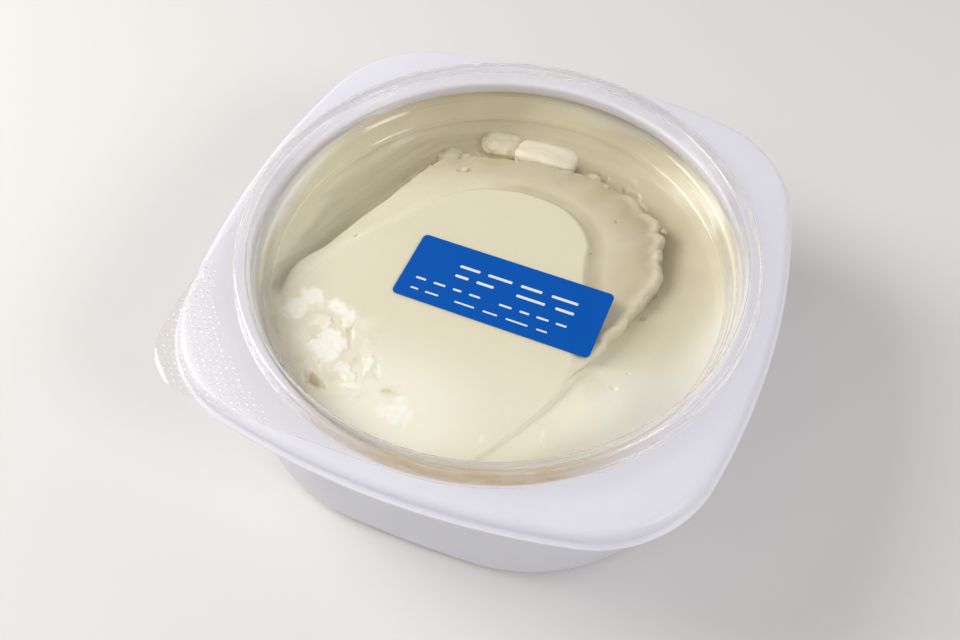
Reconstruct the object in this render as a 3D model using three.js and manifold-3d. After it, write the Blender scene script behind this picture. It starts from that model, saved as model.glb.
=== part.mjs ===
// Oboro tofu, ladled in loose scoops into its square-rimmed tub, under a clear press-on lid with a label.
// Lengths are millimetres, +Z is up, and the origin is on the table below the tub's centre.
import * as THREE from "three";
import { mergeVertices } from "three/addons/utils/BufferGeometryUtils.js";
import Module from "manifold-3d";

const gap = 0.3; // clearance between pieces that touch
const sides = 64; // facets round the tub and lid
const scoopSides = 48;
const quarter = Math.PI / 2;

// The tub: a square with bowed sides and round corners, tapering to its base.
const tub = {
  rim: { half: 66, corner: 29.5, bow: 180 },
  wallTop: { half: 60.2, corner: 47, bow: 320 },
  wallFoot: { half: 58.4, corner: 44, bow: 320 },
  rimTop: 46,
  rimFoot: 42,
  wall: 1.2,
  rimWall: 1.3,
  lip: 1.1, // how far the foot of the skirt turns out
  lipHeight: 1.2,
  shoulder: 2.2, // rounding of the rim's upper edge
  footRound: 5.5,
  floor: 1.4,
  groove: { radius: 46, width: 5, depth: 0.6 }, // stiffening groove under the base
  mouth: 57, // radius of the round opening
  mouthEase: 0.2, // rounding of its upper edge
  mouthDepth: 3.2, // below it the wall steps back, so that the lid's plug snaps in
  stepBack: 2.4,
};

// The lid: a round ring over the mouth, with a plug that reaches down to a flat panel.
const lid = {
  sheet: 0.6,
  footRadius: 61.2,
  ringFoot: 60.2,
  ringTop: 50.7,
  ringCrest: 57.5,
  ringRound: 0.8,
  draft: 0.1, // how far an upright face leans where it meets a rounding
  footStep: 0.5, // the ring's foot spreads this much before its flat band
  plugTop: 57,
  plugMiddle: 55.5,
  plugMiddleHeight: 42,
  panelRadius: 54.3,
  panelTop: 37,
  panelRound: 0.8,
  tabHalf: 61,
  tabCorner: 16,
};
const lidFoot = tub.rimTop + gap;

const label = { width: 49.4, depth: 19.2, round: 1.2, sheet: 0.3, at: [3.7, -5.5], turn: -0.026 };

// The tofu: a bed out to the wall, with a hollow in which one wide scoop lies under a flatter one.
const contact = lid.panelTop - lid.sheet - gap; // height at which the lid presses the tofu flat
const tofu = {
  centre: new THREE.Vector2(-6, -5),
  hollowFloor: 20,
  seat: 33, // where the lower scoop carries the upper one
  lowerRim: 30.6,
  wallLevel: 34.6,
  wallDrop: 5, // the bed lies this much lower at the wall on its low side
  troughLevel: 30,
  troughDrop: 5.5,
  lowSide: 2.2, // direction of the low side, in radians
  floorRound: 6,
  rimRound: 1.6, // rounding round the lower scoop's rim
  footRound: 3,
  pressedRound: 0.7, // rounding where the lid has pressed the upper scoop
  ledge: 1.5, // the seat reaches this far beyond the upper scoop
};

// Outlines of the scoops about the tofu's centre: how far each reaches, from +X round through +Y.
const lowerReach = [38.5, 45.8, 53, 49, 45.6, 44.4, 42.6, 35.2, 36.5, 41.5, 37.5, 34, 36, 47.6, 43, 36.4];
const upperReach = [27.5, 25.8, 29.5, 31.6, 32, 31, 28.8, 31, 33.8, 37.6, 31.6, 28.4, 31, 41.5, 39.2, 34];

// Loose curds: where each lies, its half sizes, and how far it is turned.
const curds = [
  { at: [-27.6, -34.6, 31.9], half: [7.4, 4.6, 3.9], turn: 2.2, facets: 2 },
  { at: [-37.5, -26.5, 31.6], half: [5.4, 3.6, 3.6], turn: 1.2, facets: 1 },
  { at: [-14.6, -42.6, 31.7], half: [6.2, 4.2, 3.8], turn: -0.2, facets: 1 },
  { at: [-36.2, -37.4, 31.2], half: [3.4, 3, 2.8], turn: 0.5, facets: 1 },
  { at: [-23.4, -46.8, 31.2], half: [4.4, 3, 2.8], turn: -0.5, facets: 1 },
  { at: [-2.6, 46.9, 30], half: [9, 3.7, 3.4], turn: 0.05, facets: 2 },
  { at: [-17, 46.4, 28.4], half: [4.6, 3.4, 3], turn: -0.5, facets: 1 },
  { at: [-27.6, 40.8, 27.4], half: [4.8, 3, 2.8], turn: 0.8, facets: 1 },
  { at: [12.6, 46.2, 29], half: [4.6, 3.2, 2.8], turn: -0.3, facets: 1 },
];

const finishes = {
  tub: { color: 0xe6e9f2, roughness: 0.38 },
  lid: { color: 0xf4f7f8, roughness: 0.06, transparent: true, opacity: 0.28 },
  label: { color: 0x0a55a8, roughness: 0.45 },
  tofu: { color: 0xe9e4c6, roughness: 0.3 },
  curd: { color: 0xf0edd6, roughness: 0.34 },
};

const wasm = await Module();
wasm.setup();

const root = new THREE.Group();
root.name = "oboro_tofu";

function addMesh(name, geometry, finish) {
  const material = new THREE.MeshStandardMaterial({ metalness: 0, ...finish });
  const mesh = new THREE.Mesh(geometry, material);
  mesh.name = name;
  root.add(mesh);
  return mesh;
}

// Merges the vertices that the facets share, so that the surface is closed.
function closed(geometry) {
  geometry.deleteAttribute("normal");
  geometry.deleteAttribute("uv");
  return mergeVertices(geometry, 1e-4);
}

function toSolid(geometry) {
  return new wasm.Manifold(
    new wasm.Mesh({
      numProp: 3,
      vertProperties: new Float32Array(geometry.attributes.position.array),
      triVerts: new Uint32Array(geometry.index.array),
    }),
  );
}

function toGeometry(solid) {
  const mesh = solid.getMesh();
  const geometry = new THREE.BufferGeometry();
  geometry.setAttribute("position", new THREE.BufferAttribute(mesh.vertProperties, 3));
  geometry.setIndex(new THREE.BufferAttribute(mesh.triVerts, 1));
  return geometry;
}

// Radius of a bowed square at an angle: a wide arc for each side and a tight one for each corner.
function squareRadius({ half, corner, bow }) {
  const sideAt = half - bow;
  const cornerAt = (sideAt + Math.sqrt(2 * (bow - corner) ** 2 - sideAt ** 2)) / 2;
  const tangent = Math.atan2(cornerAt, cornerAt - sideAt);
  const meets = Math.atan2(bow * Math.sin(tangent), sideAt + bow * Math.cos(tangent));
  return (angle) => {
    const turned = Math.abs(angle - quarter * Math.round(angle / quarter));
    const x = Math.cos(turned);
    const y = Math.sin(turned);
    const onSide = turned <= meets;
    const along = onSide ? sideAt * x : cornerAt * (x + y);
    const centreSquared = onSide ? sideAt ** 2 : 2 * cornerAt ** 2;
    const radius = onSide ? bow : corner;
    return along + Math.sqrt(along ** 2 - centreSquared + radius ** 2);
  };
}

const round = (radius) => () => radius;
const inset = (plan, by) => (angle) => plan(angle) - by;
const blend = (from, to, share) => (angle) => from(angle) + (to(angle) - from(angle)) * share;

// A ring is a function from an angle to a point. This one follows a plan at one height.
function ring(plan, height, centre = new THREE.Vector2()) {
  return (angle) =>
    new THREE.Vector3(
      centre.x + plan(angle) * Math.cos(angle),
      centre.y + plan(angle) * Math.sin(angle),
      height,
    );
}

// A closed surface through rings: its first and last rings shrink to a point.
function skin(rings, facets) {
  const spine = rings.map((_, j) => new THREE.Vector2(1, j));
  const geometry = new THREE.LatheGeometry(spine, facets);
  const place = geometry.attributes.position;
  for (let i = 0; i <= facets; i++) {
    const angle = ((i % facets) * 2 * Math.PI) / facets;
    rings.forEach((at, j) => place.setXYZ(i * rings.length + j, ...at(angle)));
  }
  return closed(geometry);
}

function makeTub() {
  const rim = squareRadius(tub.rim);
  const wallTop = squareRadius(tub.wallTop);
  const wallFoot = squareRadius(tub.wallFoot);
  const underRim = tub.rimTop - tub.wall;
  const skirt = inset(rim, tub.lip);
  const rounded = (plan, radius, height, turn) =>
    ring(inset(plan, radius * (1 - Math.cos(turn))), height + radius * Math.sin(turn));
  const innerFoot = inset(wallFoot, tub.wall);
  const innerRound = tub.footRound - tub.wall;
  const innerFootHeight = tub.floor + innerRound;
  const { radius: grooveRadius, width: grooveWidth, depth: grooveDepth } = tub.groove;
  const rings = [
    ring(round(0), 0),
    ring(round(grooveRadius - grooveWidth / 2), 0),
    ring(round(grooveRadius - grooveWidth / 4), grooveDepth),
    ring(round(grooveRadius + grooveWidth / 4), grooveDepth),
    ring(round(grooveRadius + grooveWidth / 2), 0),
    ring(inset(wallFoot, tub.footRound), 0),
    rounded(wallFoot, tub.footRound, tub.footRound, -quarter * 0.6),
    rounded(wallFoot, tub.footRound, tub.footRound, -quarter * 0.28),
    ring(wallFoot, tub.footRound),
    ring(wallTop, underRim),
    ring(inset(skirt, tub.rimWall), underRim),
    ring(inset(skirt, tub.rimWall), tub.rimFoot),
    ring(rim, tub.rimFoot),
    ring(rim, tub.rimFoot + tub.lipHeight * 0.6),
    ring(skirt, tub.rimFoot + tub.lipHeight),
    ring(skirt, tub.rimTop - tub.shoulder * 0.7),
    rounded(skirt, tub.shoulder, tub.rimTop - tub.shoulder, quarter * 0.65),
    rounded(skirt, tub.shoulder, tub.rimTop - tub.shoulder, quarter),
    ring(round(tub.mouth + tub.wall), tub.rimTop),
    ring(round(tub.mouth + tub.mouthEase), tub.rimTop - 2 * tub.mouthEase),
    ring(round(tub.mouth), tub.rimTop - tub.wall),
    ring(round(tub.mouth), tub.rimTop - tub.mouthDepth),
    ring(inset(wallTop, tub.wall), tub.rimTop - tub.mouthDepth - tub.stepBack),
    ring(innerFoot, innerFootHeight),
    rounded(innerFoot, innerRound, innerFootHeight, -quarter * 0.45),
    ring(inset(innerFoot, innerRound), tub.floor),
    ring(round(0), tub.floor),
  ];
  return skin(rings, sides);
}

// The lid's section, from the panel's middle out over the ring and back underneath.
function lidSection() {
  const { sheet, draft, ringRound, panelRound, panelTop, panelRadius, ringTop, ringFoot, footStep } = lid;
  const upper = [
    [0, panelTop],
    [panelRadius - panelRound, panelTop],
    [panelRadius, panelTop + panelRound],
    [lid.plugMiddle, lid.plugMiddleHeight],
    [lid.plugTop, ringTop - ringRound],
    [lid.ringCrest, ringTop],
    [ringFoot - ringRound, ringTop],
    [ringFoot - draft, ringTop - ringRound],
    [ringFoot + footStep / 2, lidFoot + 2 * sheet],
    [ringFoot + footStep, lidFoot + sheet],
    [lid.footRadius, lidFoot + sheet],
  ];
  const lower = [
    [lid.footRadius, lidFoot],
    [ringFoot + footStep - sheet, lidFoot],
    [ringFoot - draft - sheet, ringTop - ringRound - draft],
    [ringFoot - draft - ringRound, ringTop - sheet],
    [lid.ringCrest + sheet / 2, ringTop - sheet],
    [lid.plugTop + sheet, ringTop - ringRound - draft],
    [lid.plugMiddle + sheet, lid.plugMiddleHeight],
    [panelRadius + sheet, panelTop + panelRound - draft],
    [panelRadius - panelRound + draft, panelTop - sheet],
    [0, panelTop - sheet],
  ];
  return [...upper, ...lower].reverse().map(([radius, height]) => new THREE.Vector2(radius, height));
}

// The lift tab: the lid's foot carried out to one corner of the rim.
function tabShape() {
  const { tabHalf, tabCorner } = lid;
  const inner = lid.ringFoot + lid.footStep / 2;
  const cornerAt = -(tabHalf - tabCorner);
  const shape = new THREE.Shape();
  shape.moveTo(-tabHalf, 0);
  shape.lineTo(-tabHalf, cornerAt);
  shape.absarc(cornerAt, cornerAt, tabCorner, Math.PI, 3 * quarter, false);
  shape.lineTo(0, -tabHalf);
  shape.lineTo(0, -inner);
  shape.absarc(0, 0, inner, 3 * quarter, Math.PI, true);
  shape.closePath();
  return shape;
}

function makeLid() {
  const turned = new THREE.LatheGeometry(lidSection(), sides);
  turned.rotateX(quarter);
  const tab = new THREE.ExtrudeGeometry(tabShape(), {
    depth: lid.sheet,
    bevelEnabled: false,
    curveSegments: sides / 4,
  });
  tab.translate(0, 0, lidFoot);
  return toGeometry(toSolid(closed(turned)).add(toSolid(closed(tab))));
}

function makeLabel() {
  const { width, depth, round: corner, sheet } = label;
  const [x, y] = [width / 2 - corner, depth / 2 - corner];
  const shape = new THREE.Shape();
  shape.absarc(x, y, corner, 0, quarter, false);
  shape.absarc(-x, y, corner, quarter, 2 * quarter, false);
  shape.absarc(-x, -y, corner, 2 * quarter, 3 * quarter, false);
  shape.absarc(x, -y, corner, 3 * quarter, 4 * quarter, false);
  const sticker = new THREE.ExtrudeGeometry(shape, {
    depth: sheet,
    bevelEnabled: false,
    curveSegments: 4,
  });
  return closed(sticker);
}

// A closed smooth outline through equally spaced reaches.
function organic(reaches) {
  const count = reaches.length;
  const points = reaches.map((reach, i) => {
    const angle = (i * 2 * Math.PI) / count;
    return new THREE.Vector3(reach * Math.cos(angle), reach * Math.sin(angle), 0);
  });
  const curve = new THREE.CatmullRomCurve3(points, true, "catmullrom");
  return (angle) => {
    const share = (angle / (2 * Math.PI) + 1) % 1;
    return curve.getPoint(share).length();
  };
}

const lowSide = (angle) => (0.5 + 0.5 * Math.cos(angle - tofu.lowSide)) ** 1.5;

// A ring part of the way from one ring to another, with its own height.
function between(from, to, share, height) {
  return (angle) => {
    const point = from(angle).lerp(to(angle), share);
    point.z = height(angle);
    return point;
  };
}

function makeBed() {
  const wallTop = inset(squareRadius(tub.wallTop), tub.wall + gap);
  const wallFoot = inset(squareRadius(tub.wallFoot), tub.wall + gap);
  const { centre: at, floorRound, hollowFloor, footRound } = tofu;
  const floor = tub.floor + gap;
  const wallAt = (height) => blend(wallFoot, wallTop, (height - floor) / (tub.rimTop - floor));
  const wallLevel = (angle) => tofu.wallLevel - tofu.wallDrop * lowSide(angle);
  const trough = (angle) => tofu.troughLevel - tofu.troughDrop * lowSide(angle);
  const hollow = inset(organic(lowerReach), -gap);
  const surface = (angle) => ring(wallAt(wallLevel(angle)), wallLevel(angle))(angle);
  const mouth = (angle) => ring(hollow, trough(angle), at)(angle);
  const rise = (share) => (angle) => trough(angle) + (wallLevel(angle) - trough(angle)) * share;
  const rings = [
    ring(round(0), floor),
    ring(inset(wallFoot, floorRound), floor),
    ring(inset(wallFoot, floorRound / 4), floor + floorRound / 3),
    ring(wallFoot, floor + floorRound),
    surface,
    between(mouth, surface, 0.7, rise(0.62)),
    between(mouth, surface, 0.35, rise(0.22)),
    mouth,
    ring(inset(hollow, footRound / 4), hollowFloor + footRound, at),
    ring(inset(hollow, footRound), hollowFloor, at),
    ring(round(0), hollowFloor, at),
  ];
  return skin(rings, scoopSides);
}

function makeLowerScoop() {
  const { centre: at, lowerRim, rimRound, footRound, seat, ledge } = tofu;
  const edge = organic(lowerReach);
  const seatEdge = inset(organic(upperReach), -ledge);
  const foot = tofu.hollowFloor + gap;
  const rings = [
    ring(round(0), foot, at),
    ring(inset(edge, footRound), foot, at),
    ring(inset(edge, footRound / 4), foot + footRound, at),
    ring(edge, lowerRim - 2 * rimRound, at),
    ring(inset(edge, rimRound / 4), lowerRim - rimRound / 2, at),
    ring(inset(edge, rimRound), lowerRim + rimRound / 4, at),
    ring(blend(edge, seatEdge, 0.6), seat - rimRound / 2, at),
    ring(seatEdge, seat, at),
    ring(round(0), seat, at),
  ];
  return skin(rings, scoopSides);
}

function makeUpperScoop() {
  const { centre: at, pressedRound } = tofu;
  const edge = organic(upperReach);
  const foot = tofu.seat + gap;
  const rings = [
    ring(round(0), foot, at),
    ring(inset(edge, pressedRound), foot, at),
    ring(edge, foot + pressedRound, at),
    ring(inset(edge, pressedRound), contact - pressedRound, at),
    ring(inset(edge, 3 * pressedRound), contact, at),
    ring(round(0), contact, at),
  ];
  return skin(rings, scoopSides);
}

// A lump of curd: a ball drawn out to its half sizes and squared a little.
const squareness = 0.8;
function makeCurd({ at, half, turn, facets }, grown = 0) {
  const geometry = closed(new THREE.IcosahedronGeometry(1, facets));
  const place = geometry.attributes.position;
  const square = (value) => Math.sign(value) * Math.abs(value) ** squareness;
  for (let i = 0; i < place.count; i++) {
    const [x, y, z] = [place.getX(i), place.getY(i), place.getZ(i)].map(square);
    place.setXYZ(i, x * (half[0] + grown), y * (half[1] + grown), z * (half[2] + grown));
  }
  geometry.rotateZ(turn);
  geometry.translate(...at);
  return geometry;
}

// Presses the curds' sockets into a piece of tofu.
function socketed(geometry) {
  const sockets = curds.map((curd) => toSolid(makeCurd(curd, gap)));
  return toGeometry(sockets.reduce((solid, socket) => solid.subtract(socket), toSolid(geometry)));
}

addMesh("tub", makeTub(), finishes.tub);
addMesh("lid", makeLid(), finishes.lid);

const sticker = addMesh("label", makeLabel(), finishes.label);
sticker.position.set(...label.at, lid.panelTop + gap);
sticker.rotation.z = label.turn;

addMesh("tofu_bed", socketed(makeBed()), finishes.tofu);
addMesh("tofu_scoop_lower", socketed(makeLowerScoop()), finishes.tofu);
addMesh("tofu_scoop_upper", socketed(makeUpperScoop()), finishes.tofu);
curds.forEach((curd, i) => addMesh(`curd_${i + 1}`, makeCurd(curd), finishes.curd));

export default root;
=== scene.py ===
# Ladled soft tofu in its square-rimmed tub, under a clear press-on lid with a plain label.
import math
import random

import bmesh
import bpy
from mathutils import Matrix, Vector, noise


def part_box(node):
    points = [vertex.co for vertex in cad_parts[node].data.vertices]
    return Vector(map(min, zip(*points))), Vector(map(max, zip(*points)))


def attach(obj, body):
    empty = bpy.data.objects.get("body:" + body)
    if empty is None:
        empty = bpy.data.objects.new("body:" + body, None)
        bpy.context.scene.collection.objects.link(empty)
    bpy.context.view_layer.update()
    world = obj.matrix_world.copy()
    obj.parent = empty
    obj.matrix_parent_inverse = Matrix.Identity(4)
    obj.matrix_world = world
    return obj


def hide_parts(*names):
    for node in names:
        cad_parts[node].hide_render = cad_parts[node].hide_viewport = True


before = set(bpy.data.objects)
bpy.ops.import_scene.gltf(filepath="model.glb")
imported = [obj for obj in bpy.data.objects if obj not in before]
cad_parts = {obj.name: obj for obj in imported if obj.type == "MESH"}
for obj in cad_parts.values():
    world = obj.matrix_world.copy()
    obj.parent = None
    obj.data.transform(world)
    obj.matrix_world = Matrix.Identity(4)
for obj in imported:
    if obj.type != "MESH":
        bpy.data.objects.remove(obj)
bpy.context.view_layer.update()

mm = 0.001
quarter = math.pi / 2

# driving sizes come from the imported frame, in millimetres
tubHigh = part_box("tub")[1] / mm
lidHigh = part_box("lid")[1] / mm
labelLow, labelHigh = [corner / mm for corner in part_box("label")]
rimHalf = tubHigh.x
rimTop = tubHigh.z
ringTop = lidHigh.z


def smooth(low, high, value):
    share = min(max((value - low) / (high - low), 0.0), 1.0)
    return share * share * (3 - 2 * share)


def mix(a, b, share):
    return a + (b - a) * share


def wobble(x, y, size, seed):
    return noise.noise(Vector((x / size, y / size, seed)))  # about -1 to 1


# 1 at one value, fading to 0 on both sides of it
def hump(value, at, width):
    return math.exp(-((value - at) / width) ** 2)


# 1 inside an arc from one direction round to another, in degrees, and 0 outside it, with soft ends
def arcShare(angle, first, last, soft):
    degrees = math.degrees(angle) % 360
    middle, half = (first + last) / 2, (last - first) / 2
    away = abs((degrees - middle + 180) % 360 - 180)
    return 1 - smooth(half - soft / 2, half + soft / 2, away)


# a bowed square, as a reach for each angle
def squarePlan(half, corner, bow, shift=0.0):
    sideAt = half - bow
    cornerAt = (sideAt + math.sqrt(2 * (bow - corner) ** 2 - sideAt ** 2)) / 2
    tangent = math.atan2(cornerAt, cornerAt - sideAt)
    meets = math.atan2(bow * math.sin(tangent), sideAt + bow * math.cos(tangent))

    def reach(angle):
        turned = abs(angle - quarter * round(angle / quarter))
        x, y = math.cos(turned), math.sin(turned)
        onSide = turned <= meets
        along = sideAt * x if onSide else cornerAt * (x + y)
        centre = sideAt ** 2 if onSide else 2 * cornerAt ** 2
        radius = bow if onSide else corner
        return along + math.sqrt(along ** 2 - centre + radius ** 2) + shift

    return reach


def roundPlan(radius):
    return lambda angle: radius


# a closed smooth outline through equally spaced reaches
def loosePlan(reaches):
    count = len(reaches)

    def reach(angle):
        place = (angle / (2 * math.pi) * count) % count
        i = int(place)
        t = place - i
        a, b, c, d = [reaches[(i + k) % count] for k in (-1, 0, 1, 2)]
        return b + 0.5 * t * (c - a + t * (2 * a - 5 * b + 4 * c - d + t * (3 * (b - c) + d - a)))

    return reach


# one closed loop of edges that follows a plan at one height
def addRing(bm, plan, height, steps):
    circle = bmesh.ops.create_circle(bm, segments=steps, radius=1)["verts"]
    for vert in circle:
        angle = math.atan2(vert.co.y, vert.co.x)
        reach = plan(angle)
        level = height(angle) if callable(height) else height
        vert.co = (reach * math.cos(angle), reach * math.sin(angle), level)
    return list(dict.fromkeys(edge for vert in circle for edge in vert.link_edges))


# bridges rings of (plan, height, rounding) and rounds the ones that ask for it
def skinRings(bm, rings, steps):
    loops = [addRing(bm, plan, height, steps) for plan, height, _ in rings]
    for lower, upper in zip(loops, loops[1:]):
        bmesh.ops.bridge_loops(bm, edges=lower + upper)
    for loop, (_, _, rounding) in zip(loops, rings):
        if rounding:
            bmesh.ops.bevel(bm, geom=loop, offset=rounding, offset_type="OFFSET", segments=5,
                            profile=0.5, affect="EDGES", material=-1, clamp_overlap=True)


def closeEnds(bm):
    bmesh.ops.holes_fill(bm, edges=[edge for edge in bm.edges if edge.is_boundary], sides=0)


# turns a bmesh in millimetres into a finished piece that rides on the tub
def makePiece(name, bm, slot, material, *replaced, sharp=40):
    bmesh.ops.scale(bm, vec=(mm, mm, mm), verts=bm.verts)
    bmesh.ops.recalc_face_normals(bm, faces=bm.faces)
    for face in bm.faces:
        face.smooth = True
    for edge in bm.edges:
        if len(edge.link_faces) == 2:
            edge.smooth = edge.calc_face_angle(0) < math.radians(sharp)
    mesh = bpy.data.meshes.new(name)
    bm.to_mesh(mesh)
    bm.free()
    mesh.materials.append(material)
    piece = bpy.data.objects.new(name, mesh)
    bpy.context.scene.collection.objects.link(piece)
    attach(piece, "root")
    if replaced:
        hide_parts(*replaced)


def newMaterial(name):
    material = bpy.data.materials.new(name)
    material.use_nodes = True
    return material, material.node_tree, material.node_tree.nodes["Principled BSDF"]


def addNode(tree, kind, **values):
    node = tree.nodes.new(kind)
    for key, value in values.items():
        if key in node.inputs:
            node.inputs[key].default_value = value
        else:
            setattr(node, key, value)
    return node


# a soft blotch and a fine grain, shared by the plastics, the label and the curd
def makeMottle():
    group = bpy.data.node_groups.new("softMottle", "ShaderNodeTree")
    for name in ("Blotch Scale", "Grain Scale"):
        group.interface.new_socket(name, in_out="INPUT", socket_type="NodeSocketFloat")
    for name in ("Blotch", "Grain"):
        group.interface.new_socket(name, in_out="OUTPUT", socket_type="NodeSocketFloat")
    start = addNode(group, "NodeGroupInput")
    end = addNode(group, "NodeGroupOutput")
    where = addNode(group, "ShaderNodeTexCoord")
    blotch = addNode(group, "ShaderNodeTexNoise", Detail=3.0, Roughness=0.55)
    grain = addNode(group, "ShaderNodeTexNoise", Detail=5.0, Roughness=0.65)
    group.links.new(where.outputs["Object"], blotch.inputs["Vector"])
    group.links.new(where.outputs["Object"], grain.inputs["Vector"])
    group.links.new(start.outputs["Blotch Scale"], blotch.inputs["Scale"])
    group.links.new(start.outputs["Grain Scale"], grain.inputs["Scale"])
    group.links.new(blotch.outputs["Fac"], end.inputs["Blotch"])
    group.links.new(grain.outputs["Fac"], end.inputs["Grain"])
    return group


mottleGroup = makeMottle()


def addMottle(tree, blotchScale, grainScale):
    node = addNode(tree, "ShaderNodeGroup", node_tree=mottleGroup)
    node.inputs["Blotch Scale"].default_value = blotchScale
    node.inputs["Grain Scale"].default_value = grainScale
    return node


def addRange(tree, source, low, high, outLow, outHigh):
    node = addNode(tree, "ShaderNodeMapRange")
    for key, value in (("From Min", low), ("From Max", high), ("To Min", outLow), ("To Max", outHigh)):
        node.inputs[key].default_value = value
    tree.links.new(source, node.inputs["Value"])
    return node.outputs["Result"]


# mixes two colours, each a socket or a plain colour
def addBlend(tree, share, first, second):
    node = addNode(tree, "ShaderNodeMix", data_type="RGBA")
    tree.links.new(share, node.inputs["Factor"])
    for key, value in (("A", first), ("B", second)):
        socket = [s for s in node.inputs if s.name == key and s.type == "RGBA"][0]
        if isinstance(value, tuple):
            socket.default_value = (*value, 1)
        else:
            tree.links.new(value, socket)
    return [s for s in node.outputs if s.type == "RGBA"][0]


def addBump(tree, shader, height, strength, distance):
    node = addNode(tree, "ShaderNodeBump", Strength=strength, Distance=distance)
    tree.links.new(height, node.inputs["Height"])
    tree.links.new(node.outputs["Normal"], shader.inputs["Normal"])


# a fine grain between two roughnesses
def addGrain(tree, shader, mottle, low, high):
    tree.links.new(addRange(tree, mottle.outputs["Grain"], 0.3, 0.7, low, high), shader.inputs["Roughness"])


# a mask that a piece's vertices carry
def addMask(tree, name):
    return addNode(tree, "ShaderNodeAttribute", attribute_name=name).outputs["Fac"]


# the greater of two masks
def addGreater(tree, first, second):
    node = addNode(tree, "ShaderNodeMath", operation="MAXIMUM")
    tree.links.new(first, node.inputs[0])
    tree.links.new(second, node.inputs[1])
    return node.outputs[0]


def soften(shader, weight, radius, scale):
    shader.inputs["Subsurface Weight"].default_value = weight
    shader.inputs["Subsurface Radius"].default_value = radius
    shader.inputs["Subsurface Scale"].default_value = scale


def addMixShader(tree, share, first, second):
    node = addNode(tree, "ShaderNodeMixShader")
    tree.links.new(share, node.inputs["Fac"])
    tree.links.new(first.outputs[0], node.inputs[1])
    tree.links.new(second.outputs[0], node.inputs[2])
    return node


tubColours = {
    "white": ((0.69, 0.69, 0.76), (0.72, 0.72, 0.79)),
    # a warm tint for whey and painted shade inside
    "wheyAndShade": ((0.84, 0.77, 0.60), (0.90, 0.84, 0.68)),
    # painted shade for the right side of the inside wall
    "rightShade": (0.47, 0.455, 0.41),
    # painted shade warmed by the tofu's light, under the front of the lid's ring
    "ringShade": (0.50, 0.38, 0.19),
}


# white plastic with whey and painted warm shade inside, painted shade on its right side, and painted shade
# warmed by the tofu's light on the rim under the front of the lid's ring
def makeTubPlastic():
    material, tree, shader = newMaterial("tubPlastic")
    mottle = addMottle(tree, 30, 900)
    white = addBlend(tree, mottle.outputs["Blotch"], *tubColours["white"])
    wheyAndShade = addBlend(tree, mottle.outputs["Blotch"], *tubColours["wheyAndShade"])
    withWheyAndShade = addBlend(tree, addMask(tree, "wheyAndShade"), white, wheyAndShade)
    rightShaded = addBlend(tree, addMask(tree, "rightShade"), withWheyAndShade, tubColours["rightShade"])
    ringShaded = addBlend(tree, addMask(tree, "ringShade"), rightShaded, tubColours["ringShade"])
    tree.links.new(ringShaded, shader.inputs["Base Color"])
    addGrain(tree, shader, mottle, 0.30, 0.40)
    soften(shader, 0.8, (1.0, 0.9, 0.85), 0.003)
    addBump(tree, shader, mottle.outputs["Grain"], 0.08, 0.0002)
    return material


clearSheet = {
    "colour": (1, 0.991, 0.982, 1),
    "straight": (0.975, 0.972, 0.966, 1),  # colour of what is seen straight through it
    "haze": (0.95, 0.95, 0.95, 1),
    "ior": 1.4,
    "roughness": 0.03,
    "gloss": 0.08,  # roughness of what it mirrors where it is seen along
    "mirrored": 0.4,
    "hazy": 0.5,
    "thin": 0.85,
}


def makeClearPlastic():
    material, tree, shader = newMaterial("clearPlastic")
    shader.inputs["Base Color"].default_value = clearSheet["colour"]
    shader.inputs["Transmission Weight"].default_value = 1
    shader.inputs["IOR"].default_value = clearSheet["ior"]
    shader.inputs["Roughness"].default_value = clearSheet["roughness"]
    mottle = addMottle(tree, 60, 400)
    addBump(tree, shader, mottle.outputs["Blotch"], 0.12, 0.0006)
    clear = addNode(tree, "ShaderNodeBsdfTransparent", Color=clearSheet["straight"])
    # so thin a sheet hardly bends what is seen along it: there it lets through, mirrors and scatters a little
    gloss = addNode(tree, "ShaderNodeBsdfGlossy", Roughness=clearSheet["gloss"])
    fresnel = addNode(tree, "ShaderNodeFresnel", IOR=clearSheet["ior"])
    mirrors = addRange(tree, fresnel.outputs["Fac"], 0, 1, 0, clearSheet["mirrored"])
    front = addNode(tree, "ShaderNodeBsdfDiffuse", Color=clearSheet["haze"])
    behind = addNode(tree, "ShaderNodeBsdfTranslucent", Color=clearSheet["haze"])
    haze = addNode(tree, "ShaderNodeMixShader", Fac=0.5)
    tree.links.new(front.outputs[0], haze.inputs[1])
    tree.links.new(behind.outputs[0], haze.inputs[2])
    facing = addNode(tree, "ShaderNodeLayerWeight")
    hazy = addRange(tree, facing.outputs["Facing"], 0.35, 0.85, 0, clearSheet["hazy"])
    thin = addMixShader(tree, hazy, addMixShader(tree, mirrors, clear, gloss), haze)
    along = addRange(tree, facing.outputs["Facing"], 0.30, 0.75, 0, clearSheet["thin"])
    sheet = addMixShader(tree, along, shader, thin)
    # light passes the clear sheet unbent on its way to what lies below
    path = addNode(tree, "ShaderNodeLightPath")
    passing = addGreater(tree, path.outputs["Is Shadow Ray"], path.outputs["Is Diffuse Ray"])
    whole = addMixShader(tree, passing, sheet, clear)
    tree.links.new(whole.outputs["Shader"], tree.nodes["Material Output"].inputs["Surface"])
    return material


curdColours = {
    # darker and browner: whey and painted shade
    "wetShade": (0.60, 0.53, 0.365),
    "pressed": (0.745, 0.705, 0.545),
    # paler: milkiness and painted light
    "milkyAndLit": (0.96, 0.95, 0.87),
}


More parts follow.
